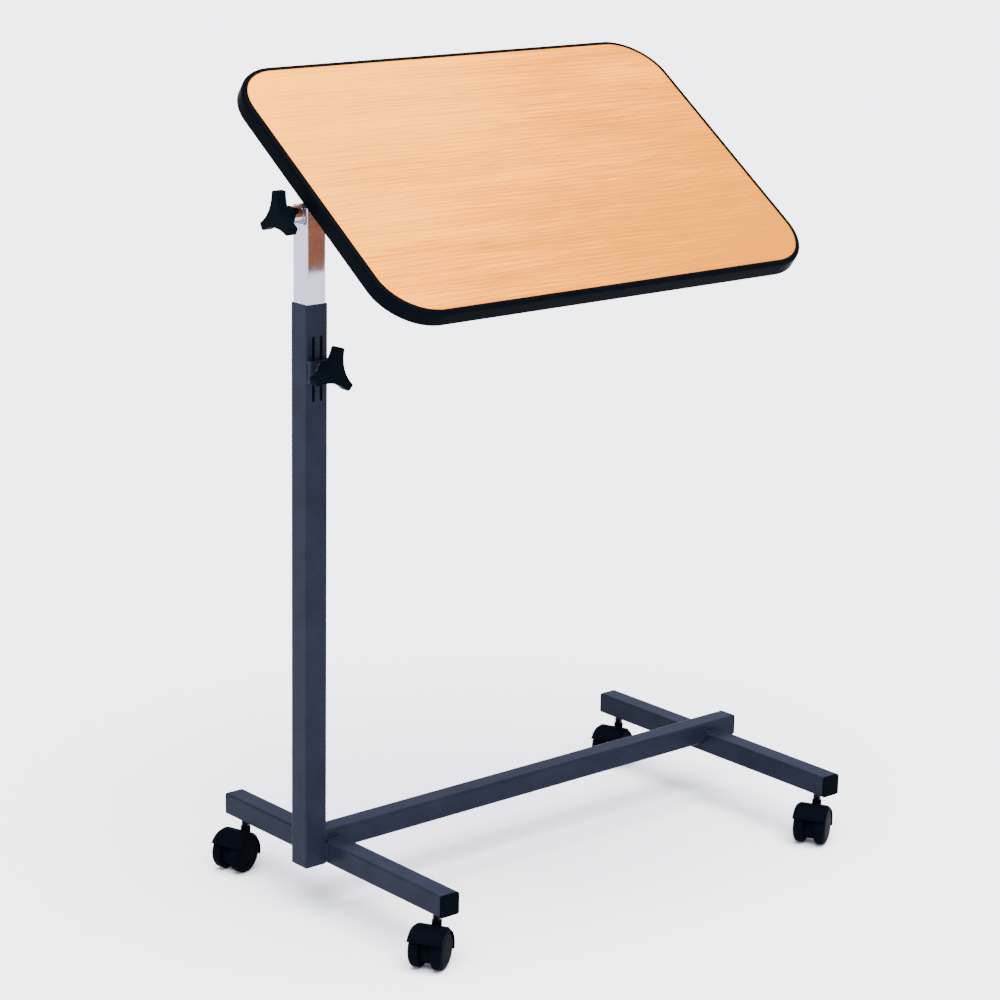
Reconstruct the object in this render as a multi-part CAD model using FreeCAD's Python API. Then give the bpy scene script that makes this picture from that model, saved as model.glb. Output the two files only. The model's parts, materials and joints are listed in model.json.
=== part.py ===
import FreeCAD, Part
import math
import os

from FreeCAD import Vector

# Overbed table, in millimetres, +Z up, floor at Z = 0.
# While it is built, X = 0 is the face of the outer mast that the base is welded to and Y = 0 is the
# mast's centre plane. The finished pieces are shifted so that the origin is the centre of the footprint.

X_AXIS = Vector(1, 0, 0)
Y_AXIS = Vector(0, 1, 0)
Z_AXIS = Vector(0, 0, 1)
FULL_TURN = 360.0
QUARTER_TURN = 90.0
LEVEL_TOLERANCE = 0.001

# ---- Driving dimensions -----------------------------------------------------------------------

# Base: two crossbars joined by one rail, all of the same square tube
BASE_TUBE = 25.0
BASE_WALL = 1.5
BASE_CORNER = 2.5
CROSSBAR_LENGTH = 384.0
CROSSBAR_SHIFT = -17.0          # centre of each crossbar from the mast's centre plane, along Y
CROSSBAR_SPACING = 580.0        # from one crossbar to the other, along the rail
RAIL_OVERHANG = 23.0            # rail past the outer side of the free crossbar
RAIL_LAP = 12.5                 # depth of the notches that seat the rail on the crossbars

# Outer mast and its clamping slits
MAST_TUBE = 28.0
MAST_WALL = 1.2
MAST_CORNER = 2.5
MAST_TOP = 682.0
SLIT_LENGTH = 70.0
SLIT_WIDTH = 3.8
SLIT_END_SHARE = 0.49           # end radius as a share of the slit's width
SLIT_SPACING = 10.0
CLAMP_HEIGHT = 615.0            # axis of the height knob
SLIT_DROP = 1.2                 # centre of the slits below that axis
BRIDGE_DROP = 3.0               # centre of the bridge below it

# Inner mast
SLIDE_CLEARANCE = 0.3
INNER_WALL = 1.2
INNER_CORNER = 2.2
INNER_LENGTH = 520.0
PIVOT_HEIGHT = 776.4
PIVOT_TO_TUBE_END = 7.5         # from the tilt axis up to the end of the inner mast

# Clamp bridge over the slits
BRIDGE_HEIGHT = 24.0
BRIDGE_DEPTH = 7.0
BRIDGE_PLATE = 3.0
BRIDGE_CHEEK = 4.0
BRIDGE_CORNER = 1.5

# Threaded studs, nuts and their clearances
STUD_RADIUS = 3.95
THREAD_CLEARANCE = 0.05
STUD_CLEARANCE = 0.3
NUT_ACROSS_FLATS = 13.0
NUT_THICKNESS = 5.5
NUT_SIDES = 6
PAD_RADIUS = 6.0
PAD_THICKNESS = 2.5

# Three-arm knob
KNOB_RADIUS = 27.0
KNOB_TIP_WIDTH = 9.5
KNOB_WAIST = 11.5               # from the axis to the hollow between two arms
KNOB_ARM_THICKNESS = 12.6
KNOB_HUB_RADIUS = 10.0
KNOB_HUB_LENGTH = 7.5
KNOB_TIP_ROUND = 2.4
KNOB_EDGE_ROUND = 1.2
KNOB_ARMS = 3
STUD_IN_KNOB = 16.0
HEIGHT_KNOB_GAP = 0.8           # between the clamp nut and the hub of the tightened knob
HEIGHT_KNOB_LEAN = 14.0         # degrees, its upper arm to the right of upright, as it stands

# Tilt clamp
SPACER_LENGTH = 13.0
SPACER_FLANGE = 2.0
SPACER_FLANGE_RADIUS = 10.5
SPACER_RADIUS = 9.4
FRICTION_WASHER_RADIUS = 11.0
FRICTION_WASHER = 1.0
HINGE_PLATE = 5.0
HINGE_PLATE_WIDTH = 30.0
STUD_PAST_NUT = 2.0

# Tabletop
TABLE_LENGTH = 600.0
TABLE_DEPTH = 375.0
TABLE_CORNER = 60.0
TABLE_TILT = 35.4               # degrees, as the table stands
TABLE_LEFT = -33.0              # left edge from the mast's welded face, along X
TABLE_SHIFT = -5.05             # centre of the board from the tilt axis, along its depth
BOARD_THICKNESS = 18.0
LAMINATE = 0.8
EDGE_WALL = 3.0
EDGE_LIP = 3.0
EDGE_LIP_THICKNESS = 1.0
EDGE_REBATE = 0.3               # step milled in the laminate for the lip
EDGE_ROUND = 4.0

# Beam and cross rails under the board
BEAM_LENGTH = 496.0
BEAM_DROP = 1.6                 # axis of the beam below the tilt axis
CROSS_RAIL_WIDTH = 20.0
CROSS_RAIL_HEIGHT = 7.5
CROSS_RAIL_LENGTH = 260.0
CROSS_RAIL_CORNER = 1.8
CROSS_RAIL_PLACES = (110.0, 436.0)      # from the hinge plate, along the beam
SCREW_PLACES = (-105.0, -45.0, 45.0, 105.0)
SCREW_RADIUS = 2.0
SCREW_HEAD_RADIUS = 4.2
SCREW_HEAD = 2.4
SCREW_HEAD_ROUND = 1.0
SCREW_IN_BOARD = 12.0
SCREW_HOLE_CLEARANCE = 0.3

# Square plastic plugs
PLUG_FLANGE = 2.5
PLUG_INSERT = 12.0
PLUG_CLEARANCE = 0.1
PLUG_ROUND = 0.8
FOOT_PLUG_FLANGE = 1.2
INNER_PLUG_FLANGE = 1.0

# Casters
CASTER_TRAIL = 19.5
CASTER_INSET = 19.5             # stem from the end of the crossbar tube
CASTER_TURNS = {
    "mast_front": 30.0,
    "mast_rear": 17.3,
    "free_front": 30.0,
    "free_rear": 22.0,
}
WHEEL_RADIUS = 22.0
WHEEL_INNER_FACE = 6.5
WHEEL_TREAD_START = 8.2
WHEEL_TREAD_END = 15.0
WHEEL_OUTER_FACE = 19.5
WHEEL_FACE_RADIUS = 13.5
WHEEL_DISH_RADIUS = 9.0
WHEEL_DISH_DEPTH = 1.2
AXLE_RADIUS = 3.0
RUNNING_CLEARANCE = 0.05
HOOD_GAP = 0.7
HOOD_WALL = 1.8
HOOD_HALF_WIDTH = 20.0
HOOD_SHOULDER = 16.0
HOOD_SIDE_DROP = 3.1
HOOD_START = -17.0              # degrees below the axle, on the stem's side
HOOD_END = 150.0                # degrees, past the top of the wheels
WEB_HALF_WIDTH = 6.0
WEB_RADIUS = 16.5
BOSS_RADIUS = 5.6
BOSS_ABOVE_WHEELS = 2.0
STEM_NECK = 11.0                # from the top of the boss to the crossbar
PIN_RADIUS = 4.5
PIN_SPIGOT_RADIUS = 3.5
PIN_SPIGOT_LENGTH = 21.5
PIN_SHOULDER_GAP = 0.4
SOCKET_RADIUS = 6.0
SOCKET_FLANGE_RADIUS = 7.2
SOCKET_FLANGE = 1.2
SOCKET_LENGTH = 20.0

# ---- Places worked out from them --------------------------------------------------------------

BOSS_TOP = 2 * WHEEL_RADIUS + BOSS_ABOVE_WHEELS
CASTER_HEIGHT = BOSS_TOP + STEM_NECK
MAST_CENTRE_X = -MAST_TUBE / 2
MAST_FRONT_Y = -MAST_TUBE / 2
MAST_BOTTOM = CASTER_HEIGHT + FOOT_PLUG_FLANGE
MAST_BORE = MAST_TUBE - 2 * MAST_WALL
INNER_TUBE = MAST_BORE - 2 * SLIDE_CLEARANCE
INNER_LEFT_X = MAST_CENTRE_X - INNER_TUBE / 2
INNER_RIGHT_X = MAST_CENTRE_X + INNER_TUBE / 2
INNER_TOP = PIVOT_HEIGHT + PIVOT_TO_TUBE_END
RAIL_BOTTOM = CASTER_HEIGHT + BASE_TUBE - RAIL_LAP
RAIL_LENGTH = CROSSBAR_SPACING + BASE_TUBE + RAIL_OVERHANG
THREAD_BORE = STUD_RADIUS + THREAD_CLEARANCE
STUD_HOLE = STUD_RADIUS + STUD_CLEARANCE
HINGE_LEFT_X = INNER_RIGHT_X + FRICTION_WASHER
BEAM_LEFT_X = HINGE_LEFT_X + HINGE_PLATE
BEAM_HALF = BASE_TUBE / 2
BEAM_TOP = BEAM_HALF - BEAM_DROP
BOARD_BOTTOM = BEAM_TOP + CROSS_RAIL_HEIGHT
BOARD_TOP = BOARD_BOTTOM + BOARD_THICKNESS
TABLE_CENTRE_X = TABLE_LEFT + TABLE_LENGTH / 2
HOOD_INNER = WHEEL_RADIUS + HOOD_GAP
HOOD_OUTER = HOOD_INNER + HOOD_WALL
PIN_BOTTOM = BOSS_TOP + PIN_SHOULDER_GAP - PIN_SPIGOT_LENGTH


# ---- Shape helpers ----------------------------------------------------------------------------

def moved(shape, x=0.0, y=0.0, z=0.0):
    """A copy of the shape, shifted."""
    copy = shape.copy()
    copy.translate(Vector(x, y, z))
    return copy


def turned(shape, axis, degrees):
    """A copy of the shape, turned about an axis through the origin."""
    copy = shape.copy()
    copy.rotate(Vector(0, 0, 0), axis, degrees)
    return copy


def rounded_rectangle(length, width, radius):
    """Closed wire on the XY plane, centred, with round corners."""
    half_x = length / 2
    half_y = width / 2
    corners = ((1, 1), (-1, 1), (-1, -1), (1, -1))
    edges = []
    ends = []
    for index, (side_x, side_y) in enumerate(corners):
        centre = Vector(side_x * (half_x - radius), side_y * (half_y - radius), 0)
        start = QUARTER_TURN * index
        circle = Part.Circle(centre, Z_AXIS, radius)
        arc = Part.Arc(circle, math.radians(start), math.radians(start + QUARTER_TURN))
        edges.append(arc.toShape())
        ends.append((arc.StartPoint, arc.EndPoint))
    for index in range(len(corners)):
        following = (index + 1) % len(corners)
        edges.append(Part.LineSegment(ends[index][1], ends[following][0]).toShape())
    return Part.Wire(Part.__sortEdges__(edges))


def rounded_prism(length, width, height, radius):
    """Upright prism standing on the XY plane, centred, with round upright edges."""
    face = Part.Face(rounded_rectangle(length, width, radius))
    return face.extrude(Vector(0, 0, height))


def square_tube(size, wall, corner, length):
    """Upright square tube standing on the XY plane."""
    outside = rounded_prism(size, size, length, corner)
    inner_corner = max(corner - wall, wall / 2)
    inside = rounded_prism(size - 2 * wall, size - 2 * wall, length, inner_corner)
    return outside.cut(inside)


def lay_along_x(shape):
    """Turn an upright shape so that its +Z end points along +X."""
    return turned(shape, Y_AXIS, QUARTER_TURN)


def lay_along_y(shape):
    """Turn an upright shape so that its +Z end points along +Y."""
    return turned(shape, X_AXIS, -QUARTER_TURN)


def flange_edges(shape, height):
    """The edges of a prism that lie flat at one height."""
    flat = []
    for edge in shape.Edges:
        box = edge.BoundBox
        if abs(box.ZMin - height) < LEVEL_TOLERANCE and box.ZLength < LEVEL_TOLERANCE:
            flat.append(edge)
    return flat


def hex_nut(across_flats, thickness, bore):
    """Upright hexagon nut standing on the XY plane."""
    corner_radius = across_flats / math.sqrt(3)
    points = []
    for index in range(NUT_SIDES + 1):
        angle = math.radians(FULL_TURN / NUT_SIDES * index)
        points.append(Vector(corner_radius * math.cos(angle), corner_radius * math.sin(angle), 0))
    nut = Part.Face(Part.makePolygon(points)).extrude(Vector(0, 0, thickness))
    return nut.cut(Part.makeCylinder(bore, thickness))


def square_plug(size, wall, corner, flange):
    """Plug for a square tube: the flange hangs below the XY plane and the insert stands above it."""
    plate = moved(rounded_prism(size, size, flange, corner), z=-flange)
    plate = plate.makeFillet(PLUG_ROUND, flange_edges(plate, -flange))
    insert_size = size - 2 * wall - 2 * PLUG_CLEARANCE
    insert = rounded_prism(insert_size, insert_size, PLUG_INSERT, max(corner - wall, wall / 2))
    return plate.fuse(insert).removeSplitter()


# ---- Base frame -------------------------------------------------------------------------------

def crossbar_stem_places():
    """Y of the front and rear caster stems."""
    half = CROSSBAR_LENGTH / 2 - CASTER_INSET
    return {"front": CROSSBAR_SHIFT - half, "rear": CROSSBAR_SHIFT + half}


def crossbar(left_x):
    """Crossbar with a socket hole in its lower wall near each end."""
    tube = lay_along_y(square_tube(BASE_TUBE, BASE_WALL, BASE_CORNER, CROSSBAR_LENGTH))
    centre_x = left_x + BASE_TUBE / 2
    tube = moved(tube, centre_x, CROSSBAR_SHIFT - CROSSBAR_LENGTH / 2, CASTER_HEIGHT + BASE_TUBE / 2)
    for stem_y in crossbar_stem_places().values():
        foot = Vector(centre_x, stem_y, CASTER_HEIGHT - BASE_WALL)
        tube = tube.cut(Part.makeCylinder(SOCKET_RADIUS, 3 * BASE_WALL, foot))
    return tube


def base_rail():
    """Long rail, notched from below so that it sits half over both crossbars."""
    rail = lay_along_x(square_tube(BASE_TUBE, BASE_WALL, BASE_CORNER, RAIL_LENGTH))
    rail = moved(rail, z=RAIL_BOTTOM + BASE_TUBE / 2)
    for left_x in (0.0, CROSSBAR_SPACING):
        corner = Vector(left_x, -BASE_TUBE, RAIL_BOTTOM - RAIL_LAP)
        rail = rail.cut(Part.makeBox(BASE_TUBE, 2 * BASE_TUBE, 2 * RAIL_LAP, corner))
    return rail


def crossbar_plug(left_x, side):
    """Plug in one end of a crossbar; side is -1 at the front and 1 at the rear."""
    plug = square_plug(BASE_TUBE, BASE_WALL, BASE_CORNER, PLUG_FLANGE)
    plug = turned(plug, X_AXIS, side * QUARTER_TURN)
    end_y = CROSSBAR_SHIFT + side * CROSSBAR_LENGTH / 2
    return moved(plug, left_x + BASE_TUBE / 2, end_y, CASTER_HEIGHT + BASE_TUBE / 2)


def rail_plug():
    """Plug in the free end of the rail."""
    plug = turned(square_plug(BASE_TUBE, BASE_WALL, BASE_CORNER, PLUG_FLANGE), Y_AXIS, -QUARTER_TURN)
    return moved(plug, RAIL_LENGTH, 0, RAIL_BOTTOM + BASE_TUBE / 2)


# ---- Masts and height clamp -------------------------------------------------------------------

def outer_mast():
    """Square outer mast; the two slits free a tongue that the clamp presses inwards."""
    tube = square_tube(MAST_TUBE, MAST_WALL, MAST_CORNER, MAST_TOP - MAST_BOTTOM)
    tube = moved(tube, MAST_CENTRE_X, 0, MAST_BOTTOM)
    for side in (-1, 1):
        slit = rounded_prism(SLIT_WIDTH, SLIT_LENGTH, 3 * MAST_WALL, SLIT_WIDTH * SLIT_END_SHARE)
        slit = turned(slit, X_AXIS, QUARTER_TURN)
        slit_x = MAST_CENTRE_X + side * SLIT_SPACING / 2
        tube = tube.cut(moved(slit, slit_x, MAST_FRONT_Y + 2 * MAST_WALL, CLAMP_HEIGHT - SLIT_DROP))
    return tube


def outer_mast_plug():
    """Plug in the foot of the outer mast, flush with the underside of the crossbars."""
    plug = square_plug(MAST_TUBE, MAST_WALL, MAST_CORNER, FOOT_PLUG_FLANGE)
    return moved(plug, MAST_CENTRE_X, 0, MAST_BOTTOM)


def inner_mast():
    """Square inner mast with a cross hole for the tilt stud."""
    tube = square_tube(INNER_TUBE, INNER_WALL, INNER_CORNER, INNER_LENGTH)
    tube = moved(tube, MAST_CENTRE_X, 0, INNER_TOP - INNER_LENGTH)
    start = Vector(INNER_LEFT_X - INNER_WALL, 0, PIVOT_HEIGHT)
    return tube.cut(Part.makeCylinder(STUD_HOLE, INNER_TUBE + 2 * INNER_WALL, start, X_AXIS))


def inner_mast_plug(at_top):
    """Plug in one end of the inner mast; the upper one is shallow to clear the tilt stud."""
    insert_size = INNER_TUBE - 2 * INNER_WALL - 2 * PLUG_CLEARANCE
    depth = PIVOT_TO_TUBE_END - STUD_HOLE - INNER_WALL
    corner = INNER_CORNER - INNER_WALL
    flange = rounded_prism(INNER_TUBE, INNER_TUBE, INNER_PLUG_FLANGE, INNER_CORNER)
    insert = moved(rounded_prism(insert_size, insert_size, depth, corner), z=-depth)
    plug = flange.fuse(insert).removeSplitter()
    if at_top:
        return moved(plug, MAST_CENTRE_X, 0, INNER_TOP)
    return moved(turned(plug, X_AXIS, 2 * QUARTER_TURN), MAST_CENTRE_X, 0, INNER_TOP - INNER_LENGTH)


def clamp_bridge():
    """Bent steel bridge welded across the slits, open above and below, with a hole for the stud."""
    block = rounded_prism(MAST_TUBE, BRIDGE_DEPTH * 2, BRIDGE_HEIGHT, BRIDGE_CORNER)
    front = Part.makeBox(MAST_TUBE, BRIDGE_DEPTH, BRIDGE_HEIGHT, Vector(-MAST_TUBE / 2, -BRIDGE_DEPTH, 0))
    block = block.common(front)
    room = MAST_TUBE - 2 * BRIDGE_CHEEK
    depth = BRIDGE_DEPTH - BRIDGE_PLATE
    block = block.cut(Part.makeBox(room, depth, BRIDGE_HEIGHT, Vector(-room / 2, -depth, 0)))
    axis_height = BRIDGE_HEIGHT / 2 + BRIDGE_DROP
    hole = Part.makeCylinder(STUD_HOLE, BRIDGE_DEPTH, Vector(0, 0, axis_height), -Y_AXIS)
    return moved(block.cut(hole), MAST_CENTRE_X, MAST_FRONT_Y, CLAMP_HEIGHT - axis_height)


def clamp_nut():
    """Nut welded on the bridge."""
    nut = turned(hex_nut(NUT_ACROSS_FLATS, NUT_THICKNESS, THREAD_BORE), X_AXIS, QUARTER_TURN)
    return moved(nut, MAST_CENTRE_X, MAST_FRONT_Y - BRIDGE_DEPTH, CLAMP_HEIGHT)


def pressure_pad():
    """Round pad between the height stud and the tongue of the outer mast."""
    foot = Vector(MAST_CENTRE_X, MAST_FRONT_Y, CLAMP_HEIGHT)
    return Part.makeCylinder(PAD_RADIUS, PAD_THICKNESS, foot, -Y_AXIS)


def height_hub_y():
    """Y of the hub face of the height knob."""
    return MAST_FRONT_Y - BRIDGE_DEPTH - NUT_THICKNESS - HEIGHT_KNOB_GAP


def height_stud():
    """Threaded stud of the height knob, from the pad into the knob."""
    start_y = MAST_FRONT_Y - PAD_THICKNESS
    length = start_y - height_hub_y() + STUD_IN_KNOB
    return Part.makeCylinder(STUD_RADIUS, length, Vector(MAST_CENTRE_X, start_y, CLAMP_HEIGHT), -Y_AXIS)


# ---- Three-arm knob ---------------------------------------------------------------------------

def knob_outline():
    """Closed outline of the arms: flat tips joined by hollow arcs, one arm along +Y."""
    half_tip = KNOB_TIP_WIDTH / 2
    pitch = FULL_TURN / KNOB_ARMS
    edges = []
    for index in range(KNOB_ARMS):
        angle = math.radians(QUARTER_TURN + index * pitch)
        ahead = math.radians(QUARTER_TURN + (index + 1) * pitch)
        between = (angle + ahead) / 2
        out = Vector(math.cos(angle), math.sin(angle), 0)
        across = Vector(-math.sin(angle), math.cos(angle), 0)
        next_out = Vector(math.cos(ahead), math.sin(ahead), 0)
        next_across = Vector(-math.sin(ahead), math.cos(ahead), 0)
        tip_start = out * KNOB_RADIUS - across * half_tip
        tip_end = out * KNOB_RADIUS + across * half_tip
        next_start = next_out * KNOB_RADIUS - next_across * half_tip
        waist = Vector(math.cos(between), math.sin(between), 0) * KNOB_WAIST
        edges.append(Part.LineSegment(tip_start, tip_end).toShape())
        edges.append(Part.Arc(tip_end, waist, next_start).toShape())
    return Part.Wire(Part.__sortEdges__(edges))


def three_arm_knob():
    """Knob with its hub face on the XY plane and its arms above; one arm points along +Y."""
    arms = Part.Face(knob_outline()).extrude(Vector(0, 0, KNOB_ARM_THICKNESS))
    tips = []
    for edge in arms.Edges:
        box = edge.BoundBox
        if box.ZLength > KNOB_ARM_THICKNESS / 2:
            tips.append(edge)
    arms = arms.makeFillet(KNOB_TIP_ROUND, tips)
    rims = flange_edges(arms, 0.0) + flange_edges(arms, KNOB_ARM_THICKNESS)
    arms = arms.makeFillet(KNOB_EDGE_ROUND, rims)
    hub = Part.makeCylinder(KNOB_HUB_RADIUS, KNOB_HUB_LENGTH + KNOB_ARM_THICKNESS / 2)
    knob = moved(arms, z=KNOB_HUB_LENGTH).fuse(hub).removeSplitter()
    return knob.cut(Part.makeCylinder(STUD_RADIUS, STUD_IN_KNOB))


def height_knob():
    """Height knob: its axis points forwards and its upper arm leans to the right."""
    knob = turned(three_arm_knob(), X_AXIS, QUARTER_TURN)
    knob = turned(knob, Y_AXIS, HEIGHT_KNOB_LEAN)
    return moved(knob, MAST_CENTRE_X, height_hub_y(), CLAMP_HEIGHT)


def tilt_hub_x():
    """X of the hub face of the tilt knob."""
    return INNER_LEFT_X - SPACER_LENGTH


def tilt_knob():
    """Tilt knob: its axis points left and one arm points up."""
    knob = turned(three_arm_knob(), X_AXIS, QUARTER_TURN)
    knob = turned(knob, Z_AXIS, -QUARTER_TURN)
    return moved(knob, tilt_hub_x(), 0, PIVOT_HEIGHT)


# ---- Tilt clamp -------------------------------------------------------------------------------

def tilt_spacer():
    """Plated bush between the inner mast and the hub of the tilt knob."""
    face = Vector(INNER_LEFT_X, 0, PIVOT_HEIGHT)
    flange = Part.makeCylinder(SPACER_FLANGE_RADIUS, SPACER_FLANGE, face, -X_AXIS)
    sleeve = Part.makeCylinder(SPACER_RADIUS, SPACER_LENGTH, face, -X_AXIS)
    bore = Part.makeCylinder(THREAD_BORE, SPACER_LENGTH, face, -X_AXIS)
    return flange.fuse(sleeve).removeSplitter().cut(bore)


def tilt_stud():
    """Threaded stud of the tilt knob: it crosses the inner mast and is the axis of the tilt."""
    start_x = tilt_hub_x() - STUD_IN_KNOB
    length = BEAM_LEFT_X + NUT_THICKNESS + STUD_PAST_NUT - start_x
    return Part.makeCylinder(STUD_RADIUS, length, Vector(start_x, 0, PIVOT_HEIGHT), X_AXIS)


# ---- Tabletop, built level with the tilt axis as its origin, then tilted ----------------------

def tilted(shape):
    """Put a tabletop piece from its level frame into its place on the mast."""
    return moved(turned(shape, X_AXIS, TABLE_TILT), z=PIVOT_HEIGHT)


def board_layer(bottom, thickness, inset):
    """Layer of the board, inset from the outer edge of the moulding."""
    length = TABLE_LENGTH - 2 * inset
    depth = TABLE_DEPTH - 2 * inset
    layer = rounded_prism(length, depth, thickness, TABLE_CORNER - inset)
    return moved(layer, TABLE_CENTRE_X, TABLE_SHIFT, bottom)


def cross_rail_centres():
    """X of the cross rails."""
    return [BEAM_LEFT_X + place for place in CROSS_RAIL_PLACES]


def screw_points():
    """Places of the board screws."""
    return [(x, y) for x in cross_rail_centres() for y in SCREW_PLACES]


def board_screw(x, y):
    """Pan-head screw through a cross rail into the board."""
    head = Part.makeCylinder(SCREW_HEAD_RADIUS, SCREW_HEAD, Vector(x, y, BEAM_TOP - SCREW_HEAD))
    length = CROSS_RAIL_HEIGHT + SCREW_IN_BOARD
    shank = Part.makeCylinder(SCREW_RADIUS, length, Vector(x, y, BEAM_TOP))
    head = head.makeFillet(SCREW_HEAD_ROUND, flange_edges(head, BEAM_TOP - SCREW_HEAD))
    return head.fuse(shank).removeSplitter()


def board_screws():
    """All the board screws, as one group."""
    return Part.makeCompound([tilted(board_screw(x, y)) for x, y in screw_points()])


def board_core():
    """Particle-board core with pilot holes for the screws."""
    core = board_layer(BOARD_BOTTOM + LAMINATE, BOARD_THICKNESS - 2 * LAMINATE, EDGE_WALL)
    return tilted(drilled(core))


def drilled(layer):
    """Cut the pilot holes of the board screws."""
    for x, y in screw_points():
        foot = Vector(x, y, BEAM_TOP)
        layer = layer.cut(Part.makeCylinder(SCREW_RADIUS, CROSS_RAIL_HEIGHT + SCREW_IN_BOARD, foot))
    return layer


def top_laminate():
    """Decorative laminate on top of the board, stepped at its rim to take the lip of the moulding."""
    bottom = BOARD_TOP - LAMINATE
    sheet = board_layer(bottom, LAMINATE - EDGE_REBATE, EDGE_WALL)
    return tilted(sheet.fuse(board_layer(bottom, LAMINATE, EDGE_WALL + EDGE_LIP)).removeSplitter())


def backing_laminate():
    """Laminate on the underside of the board."""
    return tilted(drilled(board_layer(BOARD_BOTTOM, LAMINATE, EDGE_WALL)))


def edge_moulding():
    """Flexible moulding round the board, with a lip over its top and under its bottom."""
    thickness = BOARD_THICKNESS + 2 * EDGE_LIP_THICKNESS
    bottom = BOARD_BOTTOM - EDGE_LIP_THICKNESS
    band = board_layer(bottom, thickness, 0.0)
    rims = flange_edges(band, bottom) + flange_edges(band, bottom + thickness)
    band = band.makeFillet(EDGE_ROUND, rims)
    band = band.cut(board_layer(BOARD_BOTTOM, BOARD_THICKNESS - EDGE_REBATE, EDGE_WALL))
    return tilted(band.cut(board_layer(bottom, thickness, EDGE_WALL + EDGE_LIP)))


def beam():
    """Square beam under the board."""
    tube = lay_along_x(square_tube(BASE_TUBE, BASE_WALL, BASE_CORNER, BEAM_LENGTH))
    return tilted(moved(tube, BEAM_LEFT_X, z=-BEAM_DROP))


def beam_plug():
    """Plug in the free end of the beam."""
    plug = turned(square_plug(BASE_TUBE, BASE_WALL, BASE_CORNER, PLUG_FLANGE), Y_AXIS, -QUARTER_TURN)
    return tilted(moved(plug, BEAM_LEFT_X + BEAM_LENGTH, z=-BEAM_DROP))


def hinge_plate():
    """Plate on the end of the beam; the tilt stud passes through it and it reaches up to the board."""
    half = HINGE_PLATE_WIDTH / 2
    start = Vector(HINGE_LEFT_X, 0, 0)
    round_end = Part.makeCylinder(half, HINGE_PLATE, start, X_AXIS)
    rise = BOARD_BOTTOM - EDGE_LIP_THICKNESS
    upper = Part.makeBox(HINGE_PLATE, HINGE_PLATE_WIDTH, rise, start - Y_AXIS * half)
    plate = round_end.fuse(upper).removeSplitter()
    return tilted(plate.cut(Part.makeCylinder(STUD_HOLE, HINGE_PLATE, start, X_AXIS)))


def tilt_nut():
    """Nut welded on the hinge plate, inside the beam."""
    nut = lay_along_x(hex_nut(NUT_ACROSS_FLATS, NUT_THICKNESS, THREAD_BORE))
    return tilted(moved(nut, BEAM_LEFT_X))


def friction_washer():
    """Plastic washer between the inner mast and the hinge plate."""
    start = Vector(INNER_RIGHT_X, 0, 0)
    washer = Part.makeCylinder(FRICTION_WASHER_RADIUS, FRICTION_WASHER, start, X_AXIS)
    return tilted(washer.cut(Part.makeCylinder(STUD_HOLE, FRICTION_WASHER, start, X_AXIS)))


def cross_rail(centre_x):
    """Flat rectangular tube across the beam, screwed to the board."""
    outside = rounded_prism(CROSS_RAIL_WIDTH, CROSS_RAIL_HEIGHT, CROSS_RAIL_LENGTH, CROSS_RAIL_CORNER)
    inner_corner = CROSS_RAIL_CORNER - BASE_WALL / 2
    room_x = CROSS_RAIL_WIDTH - 2 * BASE_WALL
    room_y = CROSS_RAIL_HEIGHT - 2 * BASE_WALL
    tube = outside.cut(rounded_prism(room_x, room_y, CROSS_RAIL_LENGTH, inner_corner))
    tube = moved(lay_along_y(tube), centre_x, -CROSS_RAIL_LENGTH / 2, BEAM_TOP + CROSS_RAIL_HEIGHT / 2)
    for place in SCREW_PLACES:
        foot = Vector(centre_x, place, BEAM_TOP - BASE_WALL)
        depth = CROSS_RAIL_HEIGHT + 2 * BASE_WALL
        hole = Part.makeCylinder(SCREW_RADIUS + SCREW_HOLE_CLEARANCE, depth, foot)
        tube = tube.cut(hole)
    return tilted(tube)


# ---- Casters, built with the stem on Z and the wheels behind it along -X ----------------------

def turned_profile(points, start, sweep):
    """Turn a profile, given as (along the axle, radius), about the axle; angles rise from +X to +Z."""
    wire = Part.makePolygon([Vector(radius, along, 0) for along, radius in points + points[:1]])
    solid = Part.Face(wire).revolve(Vector(0, 0, 0), Y_AXIS, -sweep)
    solid = turned(solid, Y_AXIS, -start)
    return moved(solid, -CASTER_TRAIL, 0, WHEEL_RADIUS)


def axle_cylinder(radius, start, length):
    """Cylinder on the axle's line."""
    return Part.makeCylinder(radius, length, Vector(-CASTER_TRAIL, start, WHEEL_RADIUS), Y_AXIS)


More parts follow.
